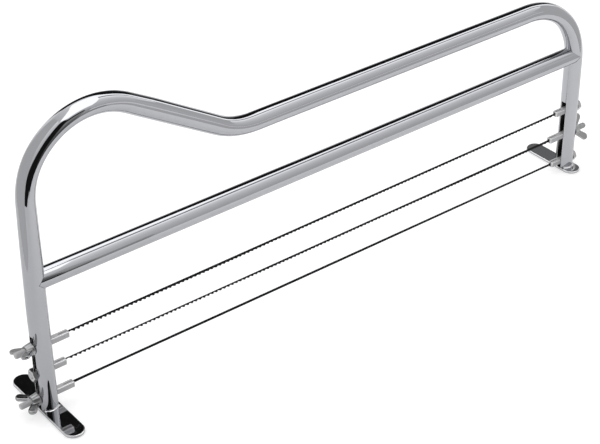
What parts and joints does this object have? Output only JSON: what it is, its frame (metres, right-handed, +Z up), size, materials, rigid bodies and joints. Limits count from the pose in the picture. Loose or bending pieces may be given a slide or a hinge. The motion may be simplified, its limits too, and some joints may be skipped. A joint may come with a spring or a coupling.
{
  "type": "cake layer slicer",
  "caption": "Hand-held layer slicer for sponge cakes: a bent steel tube frame on foot plates, with height-adjustable blades stretched between its slotted legs and clamped by wing nuts.",
  "frame": {"origin": "midway between the two legs, on the surface that the feet stand on", "axes": "+X along the blades from the humped end to the plain end, +Y along the feet to the back, +Z up"},
  "size_m": [0.4549, 0.068, 0.1881],
  "materials": {
    "polished_steel": "mirror-polished stainless steel tube",
    "foot_steel": "polished stainless steel plate",
    "blade_steel": "thin spring steel strip, dull",
    "holder_steel": "satin stainless steel bar",
    "pin_steel": "satin stainless steel pin",
    "nut_steel": "satin stainless steel nut"
  },
  "bodies": {
    "frame": {"frame_tube": "polished_steel", "crossbar": "polished_steel", "left_foot": "foot_steel", "right_foot": "foot_steel"},
    "top_blade_set": {"blade_top": "blade_steel", "holder_top_left": "holder_steel", "holder_top_right": "holder_steel", "pin_top_left": "pin_steel", "pin_top_right": "pin_steel", "hex_nut_top": "nut_steel"},
    "middle_blade_set": {"blade_middle": "blade_steel", "holder_middle_left": "holder_steel", "holder_middle_right": "holder_steel", "pin_middle_left": "pin_steel", "pin_middle_right": "pin_steel", "hex_nut_middle": "nut_steel"},
    "bottom_blade_set": {"blade_bottom": "blade_steel", "holder_bottom_left": "holder_steel", "holder_bottom_right": "holder_steel", "pin_bottom_left": "pin_steel", "pin_bottom_right": "pin_steel", "hex_nut_bottom": "nut_steel"},
    "top_wing_nut": {"wing_nut_top": "nut_steel"},
    "middle_wing_nut": {"wing_nut_middle": "nut_steel"},
    "bottom_wing_nut": {"wing_nut_bottom": "nut_steel"}
  },
  "joints": [
    {"name": "top_blade_height", "type": "slide", "parent": "frame", "child": "top_blade_set", "axis": [0, 0, 1], "range_m": [-0.002, 0.003]},
    {"name": "middle_blade_height", "type": "slide", "parent": "frame", "child": "middle_blade_set", "axis": [0, 0, 1], "range_m": [-0.002, 0.002]},
    {"name": "bottom_blade_height", "type": "slide", "parent": "frame", "child": "bottom_blade_set", "axis": [0, 0, 1], "range_m": [0, 0.002]},
    {"name": "top_wing_turn", "type": "hinge", "parent": "top_blade_set", "child": "top_wing_nut", "pos_m": [-0.22, 0, 0.0448], "axis": [1, 0, 0], "continuous": true},
    {"name": "middle_wing_turn", "type": "hinge", "parent": "middle_blade_set", "child": "middle_wing_nut", "pos_m": [0.22, 0, 0.0268], "axis": [1, 0, 0], "continuous": true},
    {"name": "bottom_wing_turn", "type": "hinge", "parent": "bottom_blade_set", "child": "bottom_wing_nut", "pos_m": [-0.22, 0, 0.0089], "axis": [1, 0, 0], "continuous": true}
  ]
}
